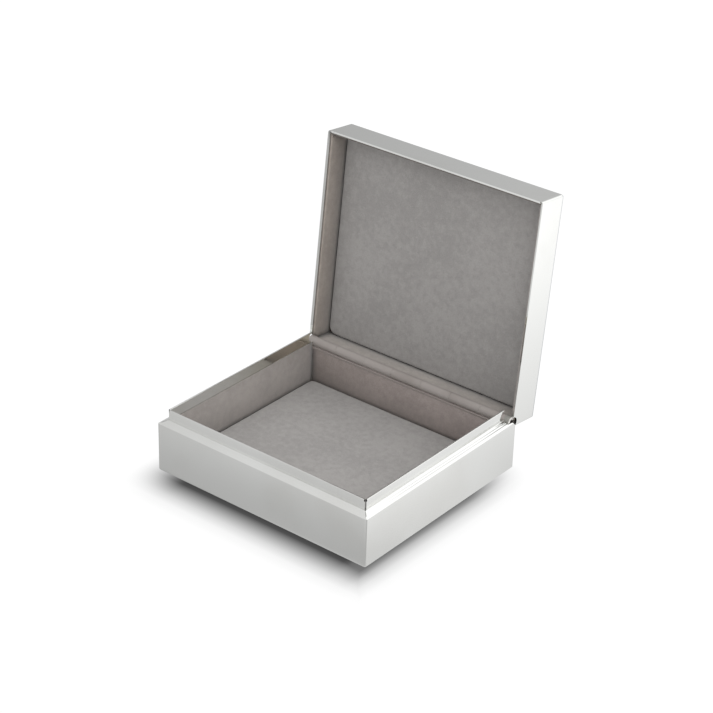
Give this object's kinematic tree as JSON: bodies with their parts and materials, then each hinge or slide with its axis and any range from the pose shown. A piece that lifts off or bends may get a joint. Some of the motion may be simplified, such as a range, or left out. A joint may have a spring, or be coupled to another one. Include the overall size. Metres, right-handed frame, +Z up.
{
  "type": "stamp box",
  "caption": "Hinged metal keepsake box standing open, with a stepped inner rim, full-width tube hinge and suede-covered lining in tray and lid.",
  "frame": {"origin": "centre of the flat underside that the box stands on", "axes": "+X to the right along the hinge, +Y from the front wall to the hinge wall, +Z up"},
  "size_m": [0.12, 0.1332, 0.1296],
  "materials": {
    "plated_metal": "polished silver-coloured plate with fine rubbing marks",
    "hinge_metal": "polished plate, a little duller in the grooves",
    "liner_board": "thin plain board, sawn edges",
    "suede_lining": "warm grey suede cloth, glued flat",
    "suede_pad": "warm grey suede over a thin pad, mottled nap"
  },
  "bodies": {
    "base": {"base_front_wall": "plated_metal", "base_back_wall": "plated_metal", "base_left_wall": "plated_metal", "base_right_wall": "plated_metal", "base_floor_plate": "plated_metal", "rim_front": "plated_metal", "rim_left": "plated_metal", "rim_right": "plated_metal", "base_hinge_seat": "hinge_metal", "base_front_liner": "liner_board", "base_back_liner": "liner_board", "base_left_liner": "liner_board", "base_right_liner": "liner_board", "base_front_cloth": "suede_lining", "base_back_cloth": "suede_lining", "base_left_cloth": "suede_lining", "base_right_cloth": "suede_lining", "floor_board": "liner_board", "floor_pad": "suede_pad", "base_knuckle_1": "hinge_metal", "base_knuckle_2": "hinge_metal", "base_knuckle_3": "hinge_metal", "base_knuckle_4": "hinge_metal", "hinge_pin": "hinge_metal"},
    "lid": {"lid_front_wall": "plated_metal", "lid_back_wall": "plated_metal", "lid_left_wall": "plated_metal", "lid_right_wall": "plated_metal", "lid_top_plate": "plated_metal", "lid_hinge_seat": "hinge_metal", "lid_front_liner": "liner_board", "lid_back_liner": "liner_board", "lid_left_liner": "liner_board", "lid_right_liner": "liner_board", "lid_front_cloth": "suede_lining", "lid_back_cloth": "suede_lining", "lid_left_cloth": "suede_lining", "lid_right_cloth": "suede_lining", "lid_pad_board": "liner_board", "lid_pad": "suede_pad", "lid_knuckle_1": "hinge_metal", "lid_knuckle_2": "hinge_metal", "lid_knuckle_3": "hinge_metal"}
  },
  "joints": [
    {"name": "lid_hinge", "type": "hinge", "parent": "base", "child": "lid", "pos_m": [0, 0.0515, 0.0247], "axis": [1, 0, 0], "range_deg": [0, 96.2]}
  ]
}
